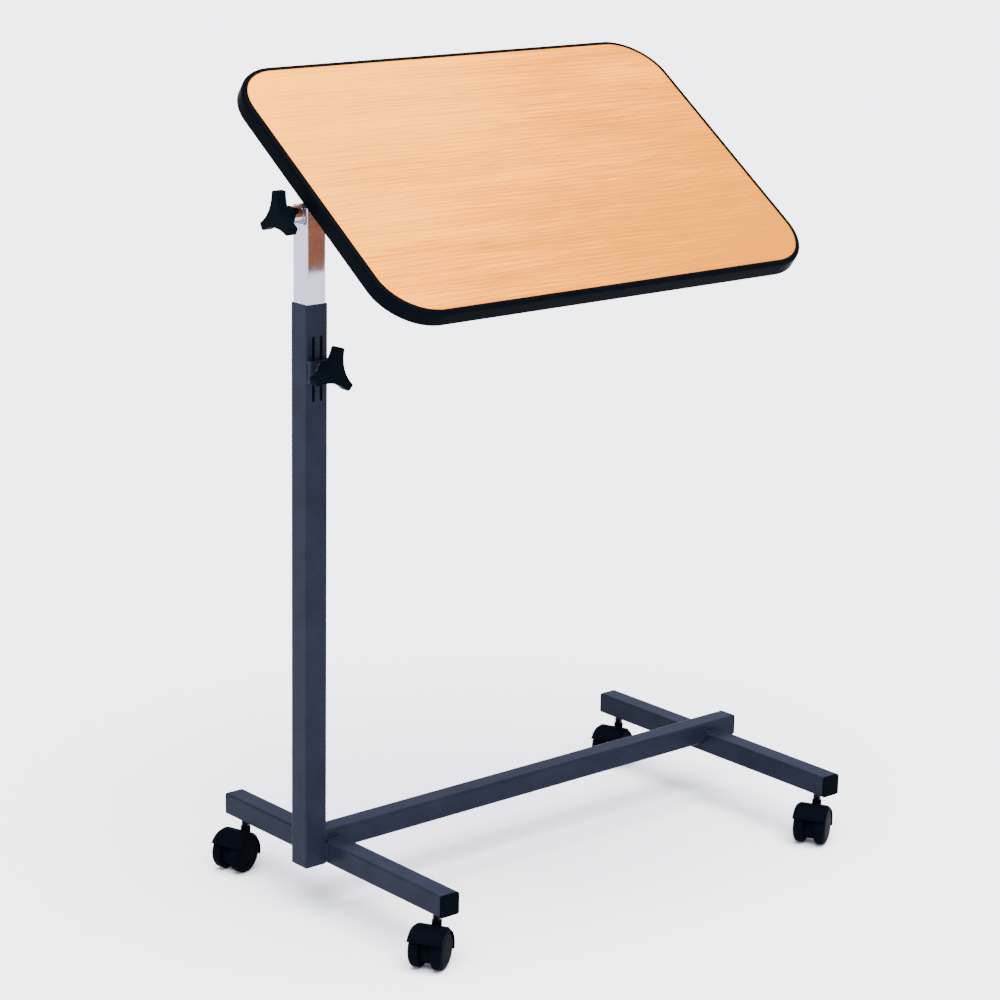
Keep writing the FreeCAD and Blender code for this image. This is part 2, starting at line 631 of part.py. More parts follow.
def caster_hood():
    """Moulded hood: a shell over the wheels, a web between them and a boss for the pin."""
    side_outer = HOOD_OUTER - HOOD_SIDE_DROP
    side_inner = HOOD_INNER - HOOD_SIDE_DROP
    outside = [(-HOOD_HALF_WIDTH, side_outer), (-HOOD_SHOULDER, HOOD_OUTER)]
    outside += [(HOOD_SHOULDER, HOOD_OUTER), (HOOD_HALF_WIDTH, side_outer)]
    inside = [(HOOD_HALF_WIDTH, side_inner), (HOOD_SHOULDER, HOOD_INNER)]
    inside += [(-HOOD_SHOULDER, HOOD_INNER), (-HOOD_HALF_WIDTH, side_inner)]
    shell = turned_profile(outside + inside, HOOD_START, HOOD_END - HOOD_START)
    middle = HOOD_INNER + HOOD_WALL / 2
    rib_profile = [(-WEB_HALF_WIDTH, 0), (WEB_HALF_WIDTH, 0)]
    rib_profile += [(WEB_HALF_WIDTH, middle), (-WEB_HALF_WIDTH, middle)]
    rib = turned_profile(rib_profile, HOOD_START, HOOD_END - HOOD_START)
    web = axle_cylinder(WEB_RADIUS, -WEB_HALF_WIDTH, 2 * WEB_HALF_WIDTH)
    boss = Part.makeCylinder(BOSS_RADIUS, BOSS_TOP - WHEEL_RADIUS, Vector(0, 0, WHEEL_RADIUS))
    hood = shell.multiFuse([rib, web, boss]).removeSplitter()
    for start in (-HOOD_SHOULDER, WEB_HALF_WIDTH):
        hood = hood.cut(axle_cylinder(HOOD_INNER, start, HOOD_SHOULDER - WEB_HALF_WIDTH))
    foot = Vector(0, 0, PIN_BOTTOM - HOOD_GAP)
    bore = Part.makeCylinder(PIN_SPIGOT_RADIUS + RUNNING_CLEARANCE, BOSS_TOP, foot)
    return hood.cut(bore).cut(axle_cylinder(AXLE_RADIUS, -WEB_HALF_WIDTH, 2 * WEB_HALF_WIDTH))


def caster_axle():
    """Steel axle pressed through the web of the hood."""
    half = WHEEL_OUTER_FACE - WHEEL_DISH_DEPTH
    return axle_cylinder(AXLE_RADIUS, -half, 2 * half)


def caster_wheel(side):
    """Wheel with a domed outer face; side is -1 or 1 along the axle."""
    bore = AXLE_RADIUS + RUNNING_CLEARANCE
    dish = WHEEL_OUTER_FACE - WHEEL_DISH_DEPTH
    inner_rim = WHEEL_RADIUS - (WHEEL_TREAD_START - WHEEL_INNER_FACE)
    points = [(WHEEL_INNER_FACE, bore), (WHEEL_INNER_FACE, inner_rim), (WHEEL_TREAD_START, WHEEL_RADIUS)]
    corners = [Vector(along, radius, 0) for along, radius in points]
    tread_end = Vector(WHEEL_TREAD_END, WHEEL_RADIUS, 0)
    face_start = Vector(WHEEL_OUTER_FACE, WHEEL_FACE_RADIUS, 0)
    bulge = math.sqrt(0.5)
    dome_x = WHEEL_TREAD_END + (WHEEL_OUTER_FACE - WHEEL_TREAD_END) * bulge
    dome_y = WHEEL_FACE_RADIUS + (WHEEL_RADIUS - WHEEL_FACE_RADIUS) * bulge
    after = [Vector(WHEEL_OUTER_FACE, WHEEL_DISH_RADIUS, 0)]
    after += [Vector(dish, WHEEL_DISH_RADIUS, 0), Vector(dish, bore, 0)]
    edges = []
    path = corners + [tread_end]
    for first, second in zip(path, path[1:]):
        edges.append(Part.LineSegment(first, second).toShape())
    edges.append(Part.Arc(tread_end, Vector(dome_x, dome_y, 0), face_start).toShape())
    path = [face_start] + after + corners[:1]
    for first, second in zip(path, path[1:]):
        edges.append(Part.LineSegment(first, second).toShape())
    wheel = Part.Face(Part.Wire(Part.__sortEdges__(edges))).revolve(Vector(0, 0, 0), X_AXIS, FULL_TURN)
    wheel = turned(wheel, Z_AXIS, side * QUARTER_TURN)
    return moved(wheel, -CASTER_TRAIL, 0, WHEEL_RADIUS)


def caster_pin():
    """Steel pin: the upper part fits the socket and the hood swivels on the spigot."""
    shoulder = BOSS_TOP + PIN_SHOULDER_GAP
    top = CASTER_HEIGHT + SOCKET_LENGTH
    upper = Part.makeCylinder(PIN_RADIUS, top - shoulder, Vector(0, 0, shoulder))
    spigot = Part.makeCylinder(PIN_SPIGOT_RADIUS, PIN_SPIGOT_LENGTH, Vector(0, 0, PIN_BOTTOM))
    return upper.fuse(spigot).removeSplitter()


def caster_socket():
    """Plated sleeve in the crossbar that grips the pin."""
    foot = Vector(0, 0, CASTER_HEIGHT - SOCKET_FLANGE)
    flange = Part.makeCylinder(SOCKET_FLANGE_RADIUS, SOCKET_FLANGE, foot)
    sleeve = Part.makeCylinder(SOCKET_RADIUS, SOCKET_LENGTH, Vector(0, 0, CASTER_HEIGHT))
    bore = Part.makeCylinder(PIN_RADIUS, CASTER_HEIGHT + SOCKET_LENGTH)
    return flange.fuse(sleeve).removeSplitter().cut(bore)


def caster(turn, x, y):
    """The pieces of one caster, turned about its stem and put under the crossbar."""
    pieces = {
        "hood": caster_hood(),
        "axle": caster_axle(),
        "wheel_left": caster_wheel(1),
        "wheel_right": caster_wheel(-1),
        "pin": caster_pin(),
        "socket": caster_socket(),
    }
    return {name: moved(turned(shape, Z_AXIS, turn), x, y) for name, shape in pieces.items()}


# ---- All the pieces ---------------------------------------------------------------------------

def all_pieces():
    """Every node of the table, by name."""
    nodes = {
        "mast_crossbar": crossbar(0.0),
        "free_crossbar": crossbar(CROSSBAR_SPACING),
        "base_rail": base_rail(),
        "mast_crossbar_front_plug": crossbar_plug(0.0, -1),
        "mast_crossbar_rear_plug": crossbar_plug(0.0, 1),
        "free_crossbar_front_plug": crossbar_plug(CROSSBAR_SPACING, -1),
        "free_crossbar_rear_plug": crossbar_plug(CROSSBAR_SPACING, 1),
        "base_rail_plug": rail_plug(),
        "outer_mast": outer_mast(),
        "outer_mast_plug": outer_mast_plug(),
        "clamp_bridge": clamp_bridge(),
        "clamp_nut": clamp_nut(),
        "pressure_pad": pressure_pad(),
        "height_stud": height_stud(),
        "height_knob": height_knob(),
        "inner_mast": inner_mast(),
        "inner_mast_top_plug": inner_mast_plug(True),
        "inner_mast_foot_plug": inner_mast_plug(False),
        "tilt_spacer": tilt_spacer(),
        "tilt_stud": tilt_stud(),
        "tilt_knob": tilt_knob(),
        "tilt_nut": tilt_nut(),
        "friction_washer": friction_washer(),
        "hinge_plate": hinge_plate(),
        "beam": beam(),
        "beam_plug": beam_plug(),
        "board_core": board_core(),
        "top_laminate": top_laminate(),
        "backing_laminate": backing_laminate(),
        "edge_moulding": edge_moulding(),
        "board_screws": board_screws(),
    }
    for name, centre_x in zip(("left", "right"), cross_rail_centres()):
        nodes["cross_rail_" + name] = cross_rail(centre_x)
    stem_x = {"mast": BASE_TUBE / 2, "free": CROSSBAR_SPACING + BASE_TUBE / 2}
    stem_y = crossbar_stem_places()
    for place, turn in CASTER_TURNS.items():
        bar, end = place.split("_")
        for name, shape in caster(turn, stem_x[bar], stem_y[end]).items():
            nodes["caster_" + place + "_" + name] = shape
    return nodes


def footprint_centre(shapes):
    """Middle of the whole table's box, on the floor."""
    box = Part.makeCompound(list(shapes)).optimalBoundingBox(False, False)
    return Vector((box.XMin + box.XMax) / 2, (box.YMin + box.YMax) / 2, 0)


def main():
    os.makedirs("parts", exist_ok=True)
    nodes = all_pieces()
    centre = footprint_centre(nodes.values())
    print("shift of the origin", round(centre.x, 4), round(centre.y, 4))
    for name, shape in nodes.items():
        placed = moved(shape, -centre.x, -centre.y)
        placed.exportStep("parts/" + name + ".step")


main()
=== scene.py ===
import json
import math

import bpy
from mathutils import Matrix, Vector

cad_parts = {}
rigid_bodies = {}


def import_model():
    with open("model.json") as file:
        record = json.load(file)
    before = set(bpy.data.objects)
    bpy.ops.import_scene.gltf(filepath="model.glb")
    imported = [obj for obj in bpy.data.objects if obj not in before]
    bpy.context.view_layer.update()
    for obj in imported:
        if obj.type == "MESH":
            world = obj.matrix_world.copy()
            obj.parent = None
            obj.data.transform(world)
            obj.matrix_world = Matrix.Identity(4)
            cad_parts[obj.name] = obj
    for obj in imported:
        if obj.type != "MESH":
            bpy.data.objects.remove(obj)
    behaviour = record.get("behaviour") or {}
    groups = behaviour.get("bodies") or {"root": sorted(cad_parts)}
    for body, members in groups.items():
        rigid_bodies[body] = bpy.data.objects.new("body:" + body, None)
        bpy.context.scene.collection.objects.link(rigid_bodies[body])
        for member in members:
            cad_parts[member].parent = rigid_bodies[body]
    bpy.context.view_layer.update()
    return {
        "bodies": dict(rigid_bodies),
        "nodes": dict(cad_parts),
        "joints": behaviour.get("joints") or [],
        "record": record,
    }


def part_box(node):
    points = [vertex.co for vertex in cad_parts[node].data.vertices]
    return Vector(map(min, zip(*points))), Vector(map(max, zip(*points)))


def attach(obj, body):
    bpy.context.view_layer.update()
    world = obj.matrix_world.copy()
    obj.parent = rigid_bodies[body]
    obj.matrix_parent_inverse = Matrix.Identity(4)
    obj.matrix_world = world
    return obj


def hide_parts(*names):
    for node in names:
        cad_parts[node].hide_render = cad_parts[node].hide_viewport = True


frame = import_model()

# ---- Camera -------------------------------------------------------------------------------------
# A long lens, well back and a little above the tabletop. It looks past the mast along the rail, so
# that both crossbars and all four casters can be seen.

FOCAL_LENGTH = 106.05
SENSOR_WIDTH = 36.0
FARTHEST_SEEN = 200.0
CAMERA_PLACE = Vector((-2.1181, -2.3949, 1.2805))
CAMERA_HEADING = -40.772
CAMERA_DOWN = 14.977
CAMERA_ROLL = 1.039
camera_data = bpy.data.cameras.new("camera")
camera_data.lens = FOCAL_LENGTH
camera_data.sensor_width = SENSOR_WIDTH
camera_data.clip_end = FARTHEST_SEEN
camera = bpy.data.objects.new("camera", camera_data)
bpy.context.scene.collection.objects.link(camera)
heading = Matrix.Rotation(math.radians(CAMERA_HEADING), 4, "Z")
pitch = Matrix.Rotation(math.radians(90.0 - CAMERA_DOWN), 4, "X")
roll = Matrix.Rotation(math.radians(CAMERA_ROLL), 4, "Z")
camera.matrix_world = Matrix.Translation(CAMERA_PLACE) @ heading @ pitch @ roll
bpy.context.scene.camera = camera

# ---- Floor --------------------------------------------------------------------------------------
# A plain studio floor with a pale matt paint, rolled on. It is wide enough to fill the view on every
# side and takes the object's soft shadow.

FLOOR_SIZE = 80.0
FLOOR_CLOUD = 1.25


def linear_colour(code):
    """An sRGB hex value as the linear colour that a shader takes."""
    channels = [int(code[place:place + 2], 16) / 255 for place in (1, 3, 5)]
    return [c / 12.92 if c <= 0.04045 else ((c + 0.055) / 1.055) ** 2.4 for c in channels] + [1.0]


def add_node(material, kind, settings, inputs):
    """Add a node; each input takes a value, or the output socket of another node."""
    node = material.node_tree.nodes.new(kind)
    for name, value in settings.items():
        setattr(node, name, value)
    for name, value in inputs.items():
        if isinstance(value, bpy.types.NodeSocket):
            material.node_tree.links.new(value, node.inputs[name])
        else:
            node.inputs[name].default_value = value
    return node


def new_material(name, shader_inputs):
    """A material with one Principled shader; returns the material and the shader."""
    material = bpy.data.materials.new(name)
    material.use_nodes = True
    shader = material.node_tree.nodes["Principled BSDF"]
    for socket, value in shader_inputs.items():
        shader.inputs[socket].default_value = value
    return material, shader


def link(material, output, node, socket):
    """Join an output socket to a node's input."""
    material.node_tree.links.new(output, node.inputs[socket])


def painted_floor():
    """Matt painted floor; the faint cloudiness of a rolled coat keeps it from looking blank."""
    material, shader = new_material("matt_floor_paint", {"Roughness": 0.85})
    place = add_node(material, "ShaderNodeTexCoord", {}, {})
    cloud = add_node(material, "ShaderNodeTexNoise", {},
                     {"Vector": place.outputs["Object"], "Scale": 1 / FLOOR_CLOUD})
    tones = add_node(material, "ShaderNodeValToRGB", {}, {"Fac": cloud.outputs["Fac"]})
    tones.color_ramp.elements[0].color = linear_colour("#F4F4F5")
    tones.color_ramp.elements[1].color = linear_colour("#FBFBFB")
    link(material, tones.outputs["Color"], shader, "Base Color")
    return material


bpy.ops.object.select_all(action="DESELECT")
bpy.ops.mesh.primitive_plane_add(size=FLOOR_SIZE)
floor = bpy.context.object
floor.name = "floor"
floor.data.materials.append(painted_floor())

# ---- Studio light -------------------------------------------------------------------------------
# A large soft source, high on the mast's side, lights the board and the upper faces; a dim room with
# a cool cast fills the rest, so that the sides of the tubes stay dark.

ROOM_COLOUR = "#D9DEF6"
ROOM_STRENGTH = 1.6
KEY_STRENGTH = 12.0
KEY_SPREAD = 60.0
KEY_DIRECTION = Vector((-0.1, -0.22, 1.0))
world = bpy.data.worlds.new("dim_room")
world.use_nodes = True
world.node_tree.nodes["Background"].inputs["Color"].default_value = linear_colour(ROOM_COLOUR)
world.node_tree.nodes["Background"].inputs["Strength"].default_value = ROOM_STRENGTH
bpy.context.scene.world = world

light_data = bpy.data.lights.new("soft_key", "SUN")
light_data.energy = KEY_STRENGTH
light_data.angle = math.radians(KEY_SPREAD)
light = bpy.data.objects.new("soft_key", light_data)
bpy.context.scene.collection.objects.link(light)
light.matrix_world = KEY_DIRECTION.to_track_quat("Z", "Y").to_matrix().to_4x4()

# ---- Painted steel frame ------------------------------------------------------------------------
# Square steel tubes and plates, welded, then powder coated in one go: an anthracite coat with a blue
# cast. The baked powder leaves a fine orange peel and a satin gloss.

MM = 0.001
ORANGE_PEEL = 1.6 * MM
PIGMENT_CLOUD = 35.0 * MM
PAINT_DARK = "#141822"
PAINT_LIGHT = "#191D29"
PAINT_SHINE = 0.022  # low, so that the bright floor doesn't wash out the dark sides


def powder_coat():
    """Satin anthracite powder coat on steel."""
    material, shader = new_material("powder_coated_steel", {"Specular IOR Level": PAINT_SHINE})
    place = add_node(material, "ShaderNodeTexCoord", {}, {})
    cloud = add_node(material, "ShaderNodeTexNoise", {},
                     {"Vector": place.outputs["Object"], "Scale": 1 / PIGMENT_CLOUD, "Detail": 3.0})
    tones = add_node(material, "ShaderNodeValToRGB", {}, {"Fac": cloud.outputs["Fac"]})
    tones.color_ramp.elements[0].position = 0.3
    tones.color_ramp.elements[0].color = linear_colour(PAINT_DARK)
    tones.color_ramp.elements[1].position = 0.7
    tones.color_ramp.elements[1].color = linear_colour(PAINT_LIGHT)
    link(material, tones.outputs["Color"], shader, "Base Color")
    peel = add_node(material, "ShaderNodeTexNoise", {},
                    {"Vector": place.outputs["Object"], "Scale": 1 / ORANGE_PEEL, "Detail": 1.0})
    gloss = add_node(material, "ShaderNodeMapRange", {},
                     {"Value": peel.outputs["Fac"], "To Min": 0.2, "To Max": 0.3})
    link(material, gloss.outputs["Result"], shader, "Roughness")
    bump = add_node(material, "ShaderNodeBump", {},
                    {"Height": peel.outputs["Fac"], "Strength": 0.12, "Distance": 0.2 * MM})
    link(material, bump.outputs["Normal"], shader, "Normal")
    return material


nodes = frame["nodes"]


def dress(names, material):
    """Give CAD nodes a material."""
    for name in names:
        nodes[name].data.materials.clear()
        nodes[name].data.materials.append(material)


frame_paint = powder_coat()
dress(["mast_crossbar", "free_crossbar", "base_rail", "outer_mast", "clamp_bridge"], frame_paint)
dress(["beam", "hinge_plate", "cross_rail_left", "cross_rail_right"], frame_paint)

# ---- Weld beads ---------------------------------------------------------------------------------
# The tubes are joined by short hand-laid beads, painted over with the frame. Each bead is a row of
# overlapping ripples, a little wider in the middle of each.

RIPPLE_PITCH = 1.5 * MM
RIPPLE_SWELL = 1.22
END_TAPER = 0.6
SAME_PLACE = 0.1 * MM


def weld_bead(name, start, end, radius, body):
    """Lay a rippled bead from start to end."""
    start = Vector(start)
    run = Vector(end) - start
    count = max(3, round(run.length / RIPPLE_PITCH))
    step = run.length / count
    bpy.ops.object.select_all(action="DESELECT")
    bpy.ops.mesh.primitive_cylinder_add(vertices=10, radius=radius, depth=step, end_fill_type="NOTHING",
                                        location=(0, 0, step / 2))
    bead = bpy.context.object
    bead.name = name
    bpy.ops.object.transform_apply(location=True)
    bpy.ops.object.mode_set(mode="EDIT")
    bpy.ops.mesh.select_all(action="SELECT")
    bpy.ops.mesh.bisect(plane_co=(0, 0, step / 2), plane_no=(0, 0, 1))
    bpy.ops.transform.resize(value=(RIPPLE_SWELL, RIPPLE_SWELL, 1), center_override=(0, 0, step / 2))
    bpy.ops.object.mode_set(mode="OBJECT")
    row = bead.modifiers.new("row", "ARRAY")
    row.count = count
    row.use_relative_offset = False
    row.use_constant_offset = True
    row.constant_offset_displace = (0, 0, step)
    row.use_merge_vertices = True
    row.merge_threshold = SAME_PLACE / 2
    bpy.ops.object.modifier_apply(modifier=row.name)
    bpy.ops.object.mode_set(mode="EDIT")
    bpy.ops.mesh.select_mode(type="EDGE")
    for cap_z in (0.0, run.length):
        bpy.ops.mesh.select_all(action="DESELECT")
        bpy.ops.object.mode_set(mode="OBJECT")
        for edge in bead.data.edges:
            edge.select = all(abs(bead.data.vertices[v].co.z - cap_z) < SAME_PLACE for v in edge.vertices)
        bpy.ops.object.mode_set(mode="EDIT")
        bpy.ops.mesh.edge_face_add()
        bpy.ops.transform.resize(value=(END_TAPER, END_TAPER, 1), center_override=(0, 0, cap_z))
    bpy.ops.mesh.select_all(action="SELECT")
    bpy.ops.mesh.normals_make_consistent(inside=False)
    bpy.ops.object.mode_set(mode="OBJECT")
    bpy.ops.object.shade_smooth()
    bead.matrix_world = Matrix.Translation(start) @ run.to_track_quat("Z", "X").to_matrix().to_4x4()
    bpy.ops.object.transform_apply(location=True, rotation=True, scale=True)
    bead.data.materials.append(frame_paint)
    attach(bead, body)


mast_low, mast_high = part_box("outer_mast")
rail_low, rail_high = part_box("base_rail")
bar_low, bar_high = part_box("mast_crossbar")
free_low, free_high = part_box("free_crossbar")
bridge_low, bridge_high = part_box("clamp_bridge")
SEAM = 1.9 * MM
BRIDGE_SEAM = 1.045 * MM
END_GAP = 2.0 * MM  # bare steel left at each end of a bead
for label, side_y, rail_y in (("front", mast_low.y, rail_low.y), ("rear", mast_high.y, rail_high.y)):
    weld_bead("weld_mast_crossbar_" + label, (mast_high.x, side_y, bar_low.z + END_GAP),
              (mast_high.x, side_y, bar_high.z - END_GAP), SEAM, "base")
    weld_bead("weld_mast_rail_" + label, (mast_high.x, rail_y, bar_high.z + END_GAP),
              (mast_high.x, rail_y, rail_high.z - END_GAP), SEAM, "base")
    for bar, low, high in (("mast", bar_low, bar_high), ("free", free_low, free_high)):
        weld_bead("weld_" + bar + "_rail_" + label, (low.x + END_GAP, rail_y, bar_high.z),
                  (high.x - END_GAP, rail_y, bar_high.z), SEAM, "base")
for label, edge_x in (("left", bridge_low.x), ("right", bridge_high.x)):
    weld_bead("weld_bridge_" + label, (edge_x, bridge_high.y, bridge_low.z + END_GAP),
              (edge_x, bridge_high.y, bridge_high.z - END_GAP), BRIDGE_SEAM, "base")

# ---- Inner mast and tilt bush -------------------------------------------------------------------
# Bright chromium plate on drawn steel tube. It mirrors the room and the underside of the board;
# drawing lines along the tube and faint wipe marks break the mirror a little.

DRAW_LINE = 0.7 * MM  # real drawing lines are finer; these are as fine as can be seen
DRAW_LINE_LENGTH = 167.0 * MM
WIPE_MARK = 22.0 * MM
CHROME_TONE = "#918F9E"


def chromium_plate():
    """Polished chromium plate."""
    material, shader = new_material("chromium_plated_steel", {"Metallic": 1.0})
    shader.inputs["Base Color"].default_value = linear_colour(CHROME_TONE)
    place = add_node(material, "ShaderNodeTexCoord", {}, {})
    stretch = add_node(material, "ShaderNodeMapping", {},
                       {"Vector": place.outputs["Object"],
                        "Scale": (1 / DRAW_LINE, 1 / DRAW_LINE, 1 / DRAW_LINE_LENGTH)})
    lines = add_node(material, "ShaderNodeTexNoise", {}, {"Vector": stretch.outputs["Vector"], "Scale": 1.0})
    wipes = add_node(material, "ShaderNodeTexNoise", {},
                     {"Vector": place.outputs["Object"], "Scale": 1 / WIPE_MARK, "Detail": 4.0})
    mixed = add_node(material, "ShaderNodeMath", {"operation": "MULTIPLY"}, {})
    link(material, lines.outputs["Fac"], mixed, 0)
    link(material, wipes.outputs["Fac"], mixed, 1)
    gloss = add_node(material, "ShaderNodeMapRange", {},
                     {"Value": mixed.outputs["Value"], "From Max": 0.6, "To Min": 0.05, "To Max": 0.16})
    link(material, gloss.outputs["Result"], shader, "Roughness")
    bump = add_node(material, "ShaderNodeBump", {},
                    {"Height": lines.outputs["Fac"], "Strength": 0.03, "Distance": 0.02 * MM})
    link(material, bump.outputs["Normal"], shader, "Normal")
    return material


chrome = chromium_plate()
dress(["inner_mast", "tilt_spacer"], chrome)

# ---- Zinc-plated and blackened hardware ---------------------------------------------------------
# Nuts, studs, screws, sockets and axles are steel with bright zinc, the caster pins are blackened,
# and the pressure pad is turned brass. Zinc shows a faint crystal cloud and is less glossy than chrome.

ZINC_CRYSTAL = 2.5 * MM  # real crystals are finer; these are as fine as can be seen


def plated_steel(name, dark, light, rough_low, rough_high):
    """Steel with a thin plated or blackened coat."""
    material, shader = new_material(name, {"Metallic": 1.0})
    place = add_node(material, "ShaderNodeTexCoord", {}, {})
    cloud = add_node(material, "ShaderNodeTexNoise", {},
                     {"Vector": place.outputs["Object"], "Scale": 1 / ZINC_CRYSTAL, "Detail": 4.0})
    tones = add_node(material, "ShaderNodeValToRGB", {}, {"Fac": cloud.outputs["Fac"]})
    tones.color_ramp.elements[0].color = linear_colour(dark)
    tones.color_ramp.elements[1].color = linear_colour(light)
    link(material, tones.outputs["Color"], shader, "Base Color")
    gloss = add_node(material, "ShaderNodeMapRange", {},
                     {"Value": cloud.outputs["Fac"], "To Min": rough_low, "To Max": rough_high})
    link(material, gloss.outputs["Result"], shader, "Roughness")
    return material


zinc = plated_steel("zinc_plated_steel", "#B9BCC0", "#D2D4D6", 0.22, 0.4)
black_steel = plated_steel("blackened_steel", "#141519", "#1E1F24", 0.3, 0.45)
brass = plated_steel("turned_brass", "#B08D4E", "#C9A562", 0.2, 0.35)
casters = sorted(name for name in frame["bodies"] if name.startswith("caster_") and "wheel" not in name)
dress(["clamp_nut", "tilt_nut", "height_stud", "tilt_stud", "board_screws"], zinc)
dress([caster + "_socket" for caster in casters] + [caster + "_axle" for caster in casters], zinc)
dress([caster + "_pin" for caster in casters], black_steel)
dress(["pressure_pad"], brass)

# ---- Moulded plugs, knobs and washer ------------------------------------------------------------
# Black polyamide and polypropylene mouldings. The mould's fine spark texture gives a soft sheen, and
# the flow of the melt leaves some patches a little smoother than others.

SPARK_GRAIN = 0.45 * MM
MELT_FLOW = 12.0 * MM
PLASTIC_SHINE = 0.003  # low, so that the bright floor doesn't wash out the black


def moulded_plastic(name, dark, light, rough_low, rough_high, grain):
    """Black moulded plastic with a spark-eroded mould texture."""
    material, shader = new_material(name, {"Specular IOR Level": PLASTIC_SHINE})
    place = add_node(material, "ShaderNodeTexCoord", {}, {})
    flow = add_node(material, "ShaderNodeTexNoise", {},
                    {"Vector": place.outputs["Object"], "Scale": 1 / MELT_FLOW, "Detail": 3.0})
    tones = add_node(material, "ShaderNodeValToRGB", {}, {"Fac": flow.outputs["Fac"]})
    tones.color_ramp.elements[0].color = linear_colour(dark)
    tones.color_ramp.elements[1].color = linear_colour(light)
    link(material, tones.outputs["Color"], shader, "Base Color")
    gloss = add_node(material, "ShaderNodeMapRange", {},
                     {"Value": flow.outputs["Fac"], "To Min": rough_low, "To Max": rough_high})
    link(material, gloss.outputs["Result"], shader, "Roughness")
    spark = add_node(material, "ShaderNodeTexNoise", {},
                     {"Vector": place.outputs["Object"], "Scale": 1 / grain, "Detail": 2.0})
    bump = add_node(material, "ShaderNodeBump", {},
                    {"Height": spark.outputs["Fac"], "Strength": 0.18, "Distance": 0.08 * MM})
    link(material, bump.outputs["Normal"], shader, "Normal")
    return material


knob_plastic = moulded_plastic("moulded_polyamide", "#030609", "#060A0F", 0.34, 0.5, SPARK_GRAIN)
plug_plastic = moulded_plastic("moulded_polypropylene", "#020408", "#05070C", 0.36, 0.5, SPARK_GRAIN)
plugs = [name for name in nodes if name.endswith("_plug")]
dress(plugs + ["friction_washer"], plug_plastic)
dress(["tilt_knob", "height_knob"], knob_plastic)

# ---- Guide sleeve -------------------------------------------------------------------------------
# A thin black polyethylene sleeve lines the outer mast, so that the inner mast slides without rattling. Its
# black, seen through the two slits, stands in for the shade inside them: painted shade.

SLEEVE_OUTER = 25.56 * MM
SLEEVE_INNER = 25.12 * MM
SLEEVE_LENGTH = 160.0 * MM
SLEEVE_BELOW_TOP = 1.0 * MM  # keeps the sleeve out of sight at the mast's mouth


def select_faces(piece, wanted):
    """In edit mode, select only the faces that pass a test."""
    bpy.ops.object.mode_set(mode="EDIT")
    bpy.ops.mesh.select_mode(type="FACE")
    bpy.ops.mesh.select_all(action="DESELECT")
    bpy.ops.object.mode_set(mode="OBJECT")
    for face in piece.data.polygons:
        face.select = wanted(face)
    bpy.ops.object.mode_set(mode="EDIT")


mast_axis = (mast_low + mast_high) / 2
sleeve_top = mast_high.z - SLEEVE_BELOW_TOP
sleeve_middle = Vector((mast_axis.x, mast_axis.y, sleeve_top - SLEEVE_LENGTH / 2))
bpy.ops.object.select_all(action="DESELECT")
bpy.ops.mesh.primitive_cube_add(size=1.0, location=sleeve_middle,
                                scale=(SLEEVE_OUTER, SLEEVE_OUTER, SLEEVE_LENGTH))
shade_sleeve = bpy.context.object
shade_sleeve.name = "guide_sleeve_slit_shade"
bpy.ops.object.transform_apply(location=True, rotation=True, scale=True)
select_faces(shade_sleeve, lambda face: abs(face.normal.z) > 0.9)
bpy.ops.mesh.inset(thickness=(SLEEVE_OUTER - SLEEVE_INNER) / 2)
bpy.ops.mesh.bridge_edge_loops()
bpy.ops.mesh.select_all(action="SELECT")
bpy.ops.mesh.normals_make_consistent(inside=False)
bpy.ops.object.mode_set(mode="OBJECT")
shade_sleeve.data.materials.append(plug_plastic)
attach(shade_sleeve, "base")

# ---- Caster wheels ------------------------------------------------------------------------------
# Each caster has two moulded polypropylene wheels with a flat tread, a domed outer side and a round
# cap set in a narrow groove. The wheel runs on the steel axle in a blind bore.

WHEEL_RADIUS = 22.0 * MM
WHEEL_INNER_FACE = 6.5 * MM
TREAD_START = 8.2 * MM
TREAD_END = 15.0 * MM
WHEEL_OUTER_FACE = 19.5 * MM
CAP_RADIUS = 13.5 * MM
CAP_RIM = 0.9 * MM
GROOVE_WIDTH = 0.35 * MM
GROOVE_DEPTH = 0.5 * MM
AXLE_BORE = 3.05 * MM
AXLE_BORE_DEPTH = 11.9 * MM
DOME_STEPS = 6
joints = {joint["name"]: joint for joint in frame["joints"]}

bpy.ops.object.select_all(action="DESELECT")
bpy.ops.mesh.primitive_cylinder_add(vertices=64, radius=WHEEL_RADIUS, depth=TREAD_END - TREAD_START,
                                    location=(0, 0, (TREAD_START + TREAD_END) / 2))
wheel = bpy.context.object
bpy.ops.object.transform_apply(location=True)
select_faces(wheel, lambda face: face.normal.z > 0.9)
for step in range(DOME_STEPS):
    before = math.pi / 2 * step / DOME_STEPS
    after = math.pi / 2 * (step + 1) / DOME_STEPS
    rise = (WHEEL_OUTER_FACE - TREAD_END) * (math.sin(after) - math.sin(before))
    from_radius = CAP_RADIUS + (WHEEL_RADIUS - CAP_RADIUS) * math.cos(before)
    to_radius = CAP_RADIUS + (WHEEL_RADIUS - CAP_RADIUS) * math.cos(after)
    shrink = to_radius / from_radius
    bpy.ops.mesh.extrude_region_move(TRANSFORM_OT_translate={"value": (0, 0, rise)})
    bpy.ops.transform.resize(value=(shrink, shrink, 1), center_override=(0, 0, 0))
bpy.ops.mesh.inset(thickness=CAP_RIM)
bpy.ops.mesh.inset(thickness=GROOVE_WIDTH, depth=-GROOVE_DEPTH)
bpy.ops.mesh.inset(thickness=GROOVE_WIDTH, depth=0.9 * GROOVE_DEPTH)
bpy.ops.mesh.inset(thickness=1.0 * MM, depth=0.1 * GROOVE_DEPTH)
select_faces(wheel, lambda face: face.normal.z < -0.9)
rim = (WHEEL_RADIUS - (TREAD_START - WHEEL_INNER_FACE)) / WHEEL_RADIUS
bpy.ops.mesh.extrude_region_move(TRANSFORM_OT_translate={"value": (0, 0, WHEEL_INNER_FACE - TREAD_START)})
